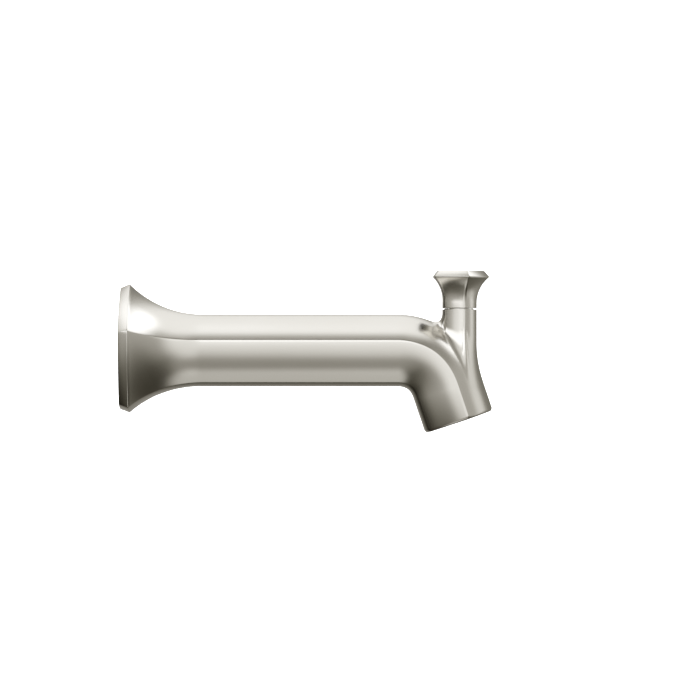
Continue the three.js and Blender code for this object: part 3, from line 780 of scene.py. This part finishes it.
def block(name, low, high):
    """A square-cornered block between two corners in millimetres."""
    low, high = Vector(low), Vector(high)
    rest()
    bpy.ops.mesh.primitive_cube_add(
        size=1, location=(low + high) / 2 * MM, scale=(high - low) * MM
    )
    piece = named(name)
    bpy.ops.object.transform_apply(location=True, rotation=True, scale=True)
    return piece


def make_wall_gasket():
    gasket = swept_hollow("foam_gasket", [level(0.1, 32.6), level(2.1, 32.6)], RIM_BOW)
    soften_edges(gasket, 0.3, 3, 40)
    hole = swept_hollow("gasket_hole", [level(-1, 30.2), level(4, 30.2)], RIM_BOW)
    cut(gasket, hole)
    smooth(gasket, SMALL_PIECE_ANGLE)
    return gasket


def make_inlet_adapter():
    outside = [(0, 6), (12.6, 6), (12.6, 39.7), (10.9, 39.7), (10.9, 50), (0, 50)]
    adapter = turned("brass_adapter", outside)
    ease_corners(adapter, 0.4)
    flats = six_sided("adapter_flats", 15.4, 6, 13, tilt=(0, math.pi / 2, 0))
    ease_corners(flats, 0.5)
    join_solid(adapter, flats)
    bore = [(0, 5), (9.8, 5), (8.15, 7.4), (8.15, 38), (6.6, 38), (6.6, 40)]
    bore += [(8.3, 40), (8.3, 51), (0, 51)]
    grooves = []
    for along in (26, 32):
        grooves.append(rod("ring_groove", 9.5, along - 1.1, along + 1.1))
    screw_hole = rod("adapter_screw_hole", 3.2, -20, -5, "Z", 48, ON_SCREW)
    cut(adapter, turned("adapter_bore", bore), *grooves, screw_hole)
    smooth(adapter, SMALL_PIECE_ANGLE)
    return adapter


def make_set_screw():
    outside = [(0, -22), (2.6, -22), (2.9, -21.7), (2.9, -8.9), (2.3, -8.3), (0, -8.3)]
    screw = turned("hex_socket_screw", outside, "Z", 48, ON_SCREW)
    cut(screw, six_sided("screw_socket", 1.75, -23, -19, ON_SCREW))
    smooth(screw, SMALL_PIECE_ANGLE)
    return screw


def make_waterway_tube():
    profile = [(5.8, 40.3), (7.7, 40.3), (8, 40.6), (8, 44.4), (6.7, 44.4), (6.7, 46.6)]
    profile += [(8, 46.6), (8, 140.7), (10, 140.7), (10.2, 140.9), (10.2, 144.5)]
    profile += [(10, 144.7), (8, 144.7), (8, 146.4), (6.7, 146.4), (6.7, 148.6), (8, 148.6)]
    profile += [(8, 159.7), (7.7, 160), (5.8, 160), (5.8, 40.3)]
    tube = turned("brass_tube", profile)
    smooth(tube, SMALL_PIECE_ANGLE)
    return tube


def make_diverter_seat():
    profile = [(8.3, 152), (9.3, 152), (9.6, 152.3), (9.6, 163.7), (7.5, 163.7)]
    profile += [(7.5, 165.9), (7, 165.9), (7, 166.9), (7.5, 166.9), (7.5, 167.8)]
    profile += [(7.3, 168), (6, 168.8), (6, 160.3), (8.3, 160.3), (8.3, 152)]
    seat = turned("brass_seat", profile)
    smooth(seat, SMALL_PIECE_ANGLE)
    return seat


def make_gate_guide():
    guide = rod("guide_disc", 10.3, 164, 165.7)
    plate = block("guide_plate", (164, -9.4, -17.6), (165.7, 9.4, 0))
    parts = [plate]
    for side in (-1, 1):
        wall = sorted((8.1 * side, 9.4 * side))
        lip = sorted((6.8 * side, 8.6 * side))
        parts.append(block("guide_rail", (164, wall[0], -21.6), (176, wall[1], -0.5)))
        parts.append(block("guide_lip", (174.6, lip[0], -21.6), (176, lip[1], -0.5)))
    join_solid(guide, *parts)
    ease_corners(guide, 0.15)
    cut(guide, rod("guide_bore", 7.75, 162, 168))
    smooth(guide, SMALL_PIECE_ANGLE)
    return guide


def make_gate_carrier():
    carrier = rod("gate_plate", 7.8, 171.9, 174.2, place=(0, 0, GATE_HEIGHT))
    arm = block("gate_arm", (173.2, -3.4, -17.5), (NECK_X, 3.4, -11.5))
    boss = rod("gate_boss", 5, -17.5, -11.5, "Z", 72, ON_STEM)
    foot = block("gate_foot", (171.9, -7.8, -22), (174.2, 7.8, -14.5))
    join_solid(carrier, foot, arm, boss)
    ease_corners(carrier, 0.2)
    stem_hole = rod("stem_hole", 2.2, -20, -10, "Z", 48, ON_STEM)
    cut(carrier, stem_hole, rod("stud_hole", 1.9, 170, 176.8, "X", 48, (0, 0, GATE_HEIGHT)))
    smooth(carrier, SMALL_PIECE_ANGLE)
    return carrier


def make_gate_seal():
    profile = [(0, 169.1), (7.1, 169.1), (7.4, 169.4), (7.4, 171.6), (1.6, 171.6)]
    profile += [(1.6, 176), (1.2, 176.4), (0, 176.4)]
    seal = turned("rubber_face", profile, place=(0, 0, GATE_HEIGHT))
    smooth(seal, SMALL_PIECE_ANGLE)
    return seal


def make_gate_screw():
    profile = [(0, -20.4), (2.4, -20.4), (3, -19.7), (3, -18.6), (1, -18.6)]
    profile += [(1, -13.4), (0.7, -13.1), (0, -13.1)]
    screw = turned("cross_head_screw", profile, "Z", 48, ON_STEM)
    slot = block("screw_slot", (NECK_X - 1.7, -0.35, -22), (NECK_X + 1.7, 0.35, -19.5))
    cross = block("screw_cross", (NECK_X - 0.35, -1.7, -22), (NECK_X + 0.35, 1.7, -19.5))
    cut(screw, slot, cross)
    smooth(screw, SMALL_PIECE_ANGLE)
    return screw


def make_lift_stem():
    profile = [(0, -12.2), (1.25, -12.2), (1.25, -17.4), (1.9, -17.4), (1.9, -11.2)]
    profile += [(2.4, -11.2), (2.5, -11.1), (2.5, 36.1), (1.9, 36.7), (0, 36.7)]
    stem = turned("steel_stem", profile, "Z", 64, ON_STEM)
    smooth(stem, SMALL_PIECE_ANGLE)
    return stem


def make_stem_bushing():
    profile = [(2.8, 12.4), (5.8, 12.4), (6, 12.6), (6, 17.6), (4.9, 17.6), (4.9, 19.4)]
    profile += [(6, 19.4), (6, 20.2), (6.7, 20.2), (6.9, 20.4), (6.9, 22), (6.7, 22.2)]
    profile += [(3, 22.2), (2.8, 22), (2.8, 17.8), (4.05, 17.8), (4.05, 15.8)]
    profile += [(2.8, 15.8), (2.8, 12.4)]
    bushing = turned("brass_bushing", profile, "Z", 72, ON_STEM)
    smooth(bushing, SMALL_PIECE_ANGLE)
    return bushing


def make_jam_nut():
    nut = six_sided("hex_nut", 4.7, 27.2, 29.8, ON_STEM)
    ease_corners(nut, 0.25)
    cut(nut, rod("nut_bore", 2.8, 26, 31, "Z", 48, ON_STEM))
    smooth(nut, SMALL_PIECE_ANGLE)
    return nut


def make_straightener_housing():
    profile = [(10.6, 2.5), (12.9, 2.5), (13.2, 2.8), (13.2, 9.5), (11.4, 9.5)]
    profile += [(11.4, 3.4), (10.6, 3.4), (10.6, 2.5)]
    housing = turned("insert_shell", profile, "Z", 96)
    keys = block("key_slots", (-14.2, -1.2, 1.5), (-11.9, 1.2, 3.9))
    for turn in (1, 2, 3):
        key = again(keys, "key_slot", (0, 0, 0))
        take_up(key)
        bpy.ops.object.mode_set(mode="EDIT")
        bpy.ops.mesh.select_all(action="SELECT")
        bpy.ops.transform.rotate(
            value=turn * math.pi / 2, orient_axis="Z", center_override=(0, 0, 0)
        )
        rest()
        cut(housing, key)
    cut(housing, keys)
    smooth(housing, SMALL_PIECE_ANGLE)
    return aim_at_outlet(housing)


CELL_PITCH = 3.8
CELL_RADIUS = 1.9


def make_stream_straightener():
    """A disc pierced by rows of six-sided cells."""
    disc = rod("cell_disc", 11.1, 3.7, 6.9, "Z", 96)
    ease_corners(disc, 0.2)
    first = six_sided("cell", CELL_RADIUS, 3, 8)
    for row in range(-2, 3):
        count = 5 - abs(row)
        for column in range(count):
            across = (column - (count - 1) / 2) * CELL_PITCH
            up = row * CELL_PITCH * math.sqrt(3) / 2
            cut(disc, again(first, "cell_copy", (across, up, 0)))
    bpy.data.objects.remove(first)
    smooth(disc, SMALL_PIECE_ANGLE)
    return aim_at_outlet(disc)


def make_outlet_gasket():
    return aim_at_outlet(washer("outlet_washer", 10, 13.2, 9.8, 11.3, edge=0.25))


# ------------------------------------------------------------------ finishes


def finish_nodes(name):
    material = bpy.data.materials.new(name)
    material.use_nodes = True
    nodes, links = material.node_tree.nodes, material.node_tree.links
    return material, nodes, links, nodes["Principled BSDF"]


def object_place(nodes):
    return nodes.new("ShaderNodeTexCoord").outputs["Object"]


def noise(nodes, links, place, scale, detail, stretch=None):
    """A noise pattern fixed to the piece, drawn out along its axes if a stretch is given."""
    if stretch:
        mapping = nodes.new("ShaderNodeMapping")
        mapping.inputs["Scale"].default_value = stretch
        links.new(place, mapping.inputs["Vector"])
        place = mapping.outputs["Vector"]
    pattern = nodes.new("ShaderNodeTexNoise")
    pattern.inputs["Scale"].default_value = scale
    pattern.inputs["Detail"].default_value = detail
    links.new(place, pattern.inputs["Vector"])
    return pattern.outputs["Fac"]


def drift_colour(nodes, links, shader, pattern, dark, light, ends=(0.3, 0.7)):
    """Lets the colour wander between two tones with a pattern."""
    ramp = nodes.new("ShaderNodeValToRGB")
    for stop, position, colour in zip(ramp.color_ramp.elements, ends, (dark, light)):
        stop.position = position
        stop.color = (*colour, 1)
    links.new(pattern, ramp.inputs["Fac"])
    links.new(ramp.outputs["Color"], shader.inputs["Base Color"])


def vary_roughness(nodes, links, shader, pattern, low, high):
    span = nodes.new("ShaderNodeMapRange")
    span.inputs["To Min"].default_value = low
    span.inputs["To Max"].default_value = high
    links.new(pattern, span.inputs["Value"])
    links.new(span.outputs["Result"], shader.inputs["Roughness"])


def raise_grain(nodes, links, shader, pattern, strength, depth):
    bump = nodes.new("ShaderNodeBump")
    bump.inputs["Strength"].default_value = strength
    bump.inputs["Distance"].default_value = depth
    links.new(pattern, bump.inputs["Height"])
    links.new(bump.outputs["Normal"], shader.inputs["Normal"])


def satin_nickel():
    """Fine satin plating: soft reflections, a faint brushed grain and slight tonal drift."""
    material, nodes, links, shader = finish_nodes("satin_nickel")
    shader.inputs["Metallic"].default_value = 1.0
    place = object_place(nodes)
    drift = noise(nodes, links, place, 22, 3)
    dark, light = (0.670, 0.648, 0.595), (0.715, 0.695, 0.645)
    drift_colour(nodes, links, shader, drift, dark, light, (0.0, 1.0))
    grain = noise(nodes, links, place, 1, 4, (350, 6000, 6000))
    vary_roughness(nodes, links, shader, grain, 0.18, 0.25)
    raise_grain(nodes, links, shader, grain, 0.05, 0.00002)
    return material


def machined_metal(name, dark, light, low, high, grain_scale):
    """Turned or drawn metal: a colour that drifts a little and a fine tool grain."""
    material, nodes, links, shader = finish_nodes(name)
    shader.inputs["Metallic"].default_value = 1.0
    place = object_place(nodes)
    drift_colour(nodes, links, shader, noise(nodes, links, place, 60, 4), dark, light)
    grain = noise(nodes, links, place, 1, 3, grain_scale)
    vary_roughness(nodes, links, shader, grain, low, high)
    raise_grain(nodes, links, shader, grain, 0.25, 0.00003)
    return material


def moulded(name, dark, light, roughness, scale, depth, subsurface=0.0):
    """Moulded plastic or rubber: a mottled colour and a fine surface texture."""
    material, nodes, links, shader = finish_nodes(name)
    shader.inputs["Roughness"].default_value = roughness
    if subsurface:
        shader.inputs["Subsurface Weight"].default_value = subsurface
        shader.inputs["Subsurface Scale"].default_value = 0.001
    place = object_place(nodes)
    drift_colour(nodes, links, shader, noise(nodes, links, place, 90, 5), dark, light)
    raise_grain(nodes, links, shader, noise(nodes, links, place, scale, 3), 0.4, depth)
    return material


FINISHES = {
    "satin_nickel": satin_nickel(),
    "brass": machined_metal(
        "brass", (0.60, 0.43, 0.16), (0.70, 0.53, 0.24), 0.22, 0.42, (4000, 300, 300)
    ),
    "stainless": machined_metal(
        "stainless", (0.50, 0.50, 0.50), (0.60, 0.60, 0.59), 0.2, 0.36, (900, 900, 5000)
    ),
    "black_rubber": moulded(
        "black_rubber", (0.012, 0.012, 0.012), (0.022, 0.022, 0.021), 0.62, 1800, 0.00003
    ),
    "foam": moulded("foam", (0.020, 0.021, 0.023), (0.045, 0.046, 0.05), 0.95, 900, 0.0002),
    "white_acetal": moulded(
        "white_acetal", (0.72, 0.71, 0.67), (0.78, 0.77, 0.73), 0.42, 1500, 0.00002, 0.15
    ),
    "grey_plastic": moulded(
        "grey_plastic", (0.20, 0.205, 0.21), (0.25, 0.255, 0.26), 0.48, 1500, 0.00003
    ),
}

SLOT_OF = {row["node"]: row["material_slot"] for row in frame["record"]["subparts"]}
BODY_OF = {
    node: body
    for body, nodes in frame["record"]["behaviour"]["bodies"].items()
    for node in nodes
}


def give_finish(piece, finish):
    piece.data.materials.clear()
    piece.data.materials.append(FINISHES[finish])


def stand_for(piece, node):
    """The piece takes the node's finish, rides on its body and is shown in its stead."""
    give_finish(piece, SLOT_OF[node])
    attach(piece, BODY_OF[node])
    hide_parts(node)


stand_for(make_spout_body(), "spout_body")
stand_for(make_lift_knob(), "lift_knob")
stand_for(make_wall_gasket(), "wall_gasket")
stand_for(make_inlet_adapter(), "inlet_adapter")
stand_for(make_set_screw(), "set_screw")
stand_for(make_waterway_tube(), "waterway_tube")
stand_for(make_diverter_seat(), "diverter_seat")
stand_for(make_gate_guide(), "gate_guide")
stand_for(make_gate_carrier(), "gate_carrier")
stand_for(make_gate_seal(), "gate_seal")
stand_for(make_gate_screw(), "gate_screw")
stand_for(make_lift_stem(), "lift_stem")
stand_for(make_stem_bushing(), "stem_bushing")
stand_for(make_jam_nut(), "knob_jam_nut")
stand_for(make_straightener_housing(), "straightener_housing")
stand_for(make_stream_straightener(), "stream_straightener")
stand_for(make_outlet_gasket(), "outlet_gasket")
stand_for(
    washer("steel_washer", 1.35, 3.6, -18.3, -17.8, place=ON_STEM, edge=0.1), "gate_washer"
)
stand_for(washer("soft_bumper", 2.8, 5, 22.5, 26.9, place=ON_STEM, edge=0.3), "knob_bumper")
stand_for(o_ring("stem_cord_ring", 3.28, 16.8, 0.7, "Z", ON_STEM), "stem_o_ring")
stand_for(o_ring("bushing_cord_ring", 5.57, 18.5, 0.6, "Z", ON_STEM), "bushing_o_ring")
rear_ring = o_ring("pipe_ring_rear", 8.62, 26, 0.8)
stand_for(again(rear_ring, "pipe_ring_front", (6, 0, 0)), "pipe_o_ring_front")
stand_for(rear_ring, "pipe_o_ring_rear")
tube_ring = o_ring("tube_ring_rear", 7.51, 45.5, 0.75)
stand_for(again(tube_ring, "tube_ring_front", (102, 0, 0)), "tube_o_ring_front")
stand_for(tube_ring, "tube_o_ring_rear")
spring = make_spring()
stand_for(spring, "return_spring")
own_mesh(spring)

for node, shown in frame["nodes"].items():
    if not shown.hide_render:
        give_finish(shown, SLOT_OF[node])

# ------------------------------------------------------------------ studio


def plain_finish(name, colour, strength=0.0, roughness=0.9):
    material, _, _, shader = finish_nodes(name)
    shader.inputs["Base Color"].default_value = (*colour, 1)
    shader.inputs["Roughness"].default_value = roughness
    if strength:
        shader.inputs["Emission Color"].default_value = (*colour, 1)
        shader.inputs["Emission Strength"].default_value = strength
    return material


def stage_sheet(name, width, height, place, turn, material):
    rest()
    bpy.ops.mesh.primitive_plane_add(size=1, location=place, rotation=turn)
    sheet = named(name)
    sheet.scale = (width, height, 1)
    sheet.data.materials.append(material)
    return sheet


floor = stage_sheet(
    "floor", 8, 8, (0, 0, -0.5), (0, 0, 0), plain_finish("pale_floor", (0.8, 0.8, 0.79))
)
backdrop = stage_sheet(
    "backdrop",
    8,
    6,
    (0, 2.5, 2.4),
    (math.pi / 2, 0, 0),
    plain_finish("white_paper", (1, 1, 1), 1.0),
)
for sheet in (floor, backdrop):
    sheet.visible_glossy = False  # the metal mirrors the soft lights alone

world = bpy.data.worlds.new("studio")
bpy.context.scene.world = world
world.use_nodes = True
air, wires = world.node_tree.nodes, world.node_tree.links
facing = air.new("ShaderNodeTexCoord").outputs["Generated"]


def reckon(first, second, operation="ADD"):
    node = air.new("ShaderNodeMath")
    node.operation = operation
    for socket, value in zip(node.inputs, (first, second)):
        if isinstance(value, (int, float)):
            socket.default_value = value
        else:
            wires.new(value, socket)
    return node.outputs[0]


def room_tone(stops):
    """The plain room: a grey for each height above the horizon, in degrees."""
    split = air.new("ShaderNodeSeparateXYZ")
    wires.new(facing, split.inputs["Vector"])
    level = air.new("ShaderNodeMapRange")
    level.inputs["From Min"].default_value = -1
    wires.new(split.outputs["Z"], level.inputs["Value"])
    tones = air.new("ShaderNodeValToRGB")
    wires.new(level.outputs["Result"], tones.inputs["Fac"])
    ramp = tones.color_ramp.elements
    while len(ramp) < len(stops):
        ramp.new(0.5)
    for stop, (height, grey) in zip(ramp, stops):
        stop.position = (math.sin(math.radians(height)) + 1) / 2
        stop.color = (grey, grey, grey, 1)
    return tones.outputs["Color"]


def soft_patch(round_to, height, core, edge, strength):
    """A round soft light in the room: its bearing, height and two half widths in degrees."""
    bearing, rise = math.radians(round_to), math.radians(height)
    toward = air.new("ShaderNodeVectorMath")
    toward.operation = "DOT_PRODUCT"
    wires.new(facing, toward.inputs[0])
    toward.inputs[1].default_value = (
        math.cos(rise) * math.sin(bearing),
        -math.cos(rise) * math.cos(bearing),
        math.sin(rise),
    )
    fade = air.new("ShaderNodeMapRange")
    fade.interpolation_type = "SMOOTHSTEP"
    fade.inputs["From Min"].default_value = math.cos(math.radians(edge))
    fade.inputs["From Max"].default_value = math.cos(math.radians(core))
    fade.inputs["To Max"].default_value = strength
    wires.new(toward.outputs["Value"], fade.inputs["Value"])
    return fade.outputs["Result"]


# Bearings run from the side the spout is looked at from, round towards its outlet.
tone = room_tone(
    [
        (-90, 0.08),
        (-50, 0.10),
        (-30, 0.18),
        (-15, 0.40),
        (0, 0.52),
        (40, 0.52),
        (60, 0.55),
        (90, 0.60),
    ]
)
for patch in (
    soft_patch(180, 72, 26, 44, 0.62),  # overhead, towards the far side
    soft_patch(-100, 62, 12, 30, 0.30),
):
    tone = reckon(tone, patch)
for patch in (
    soft_patch(-110, -20, 25, 60, 0.92),  # nothing lit on the wall's side, low down
    soft_patch(-8, 66, 6, 19, 0.35),  # the dark gap between the two high lights
    soft_patch(25, 63, 8, 22, 0.35),
    soft_patch(62, 48, 8, 26, 0.35),
    soft_patch(150, 8, 10, 40, 0.55),  # beyond the outlet, on the far side
    soft_patch(72, -35, 8, 30, 0.55),
):
    tone = reckon(tone, reckon(1.0, patch, "SUBTRACT"), "MULTIPLY")
for patch in (
    soft_patch(112, 43, 5, 21, 1.15),  # a tall light beyond the outlet, brightest at its top
    soft_patch(104, 10, 4, 18, 0.40),
    soft_patch(102, -12, 4, 16, 0.30),
    soft_patch(-23, 29, 16, 37, 1.05),  # the main light, high in front
    soft_patch(12, 0, 12, 34, 0.55),  # a fill in front
    soft_patch(35, 24, 8, 28, 0.45),
    soft_patch(8, -38, 8, 26, 0.22),
    soft_patch(15, -68, 10, 26, 0.58),  # the bounce from below
):
    tone = reckon(tone, patch)
tint = air.new("ShaderNodeCombineColor")
wires.new(tone, tint.inputs["Red"])
wires.new(reckon(tone, 1.03, "POWER"), tint.inputs["Green"])
wires.new(reckon(tone, 1.12, "POWER"), tint.inputs["Blue"])
glow = air["Background"]
wires.new(tint.outputs["Color"], glow.inputs["Color"])
glow.inputs["Strength"].default_value = 1.0

bpy.context.scene.view_settings.view_transform = "Standard"

CAMERA_LENS = 241.7
CAMERA_PLACE = (0.12350, -2.529, 0.00108)

camera_data = bpy.data.cameras.new("camera")
camera = bpy.data.objects.new("camera", camera_data)
bpy.context.scene.collection.objects.link(camera)
camera_data.sensor_width = 36
camera_data.lens = CAMERA_LENS
camera.location = CAMERA_PLACE
camera.rotation_euler = (math.pi / 2, 0, 0)
camera_data.clip_end = 50
bpy.context.scene.camera = camera
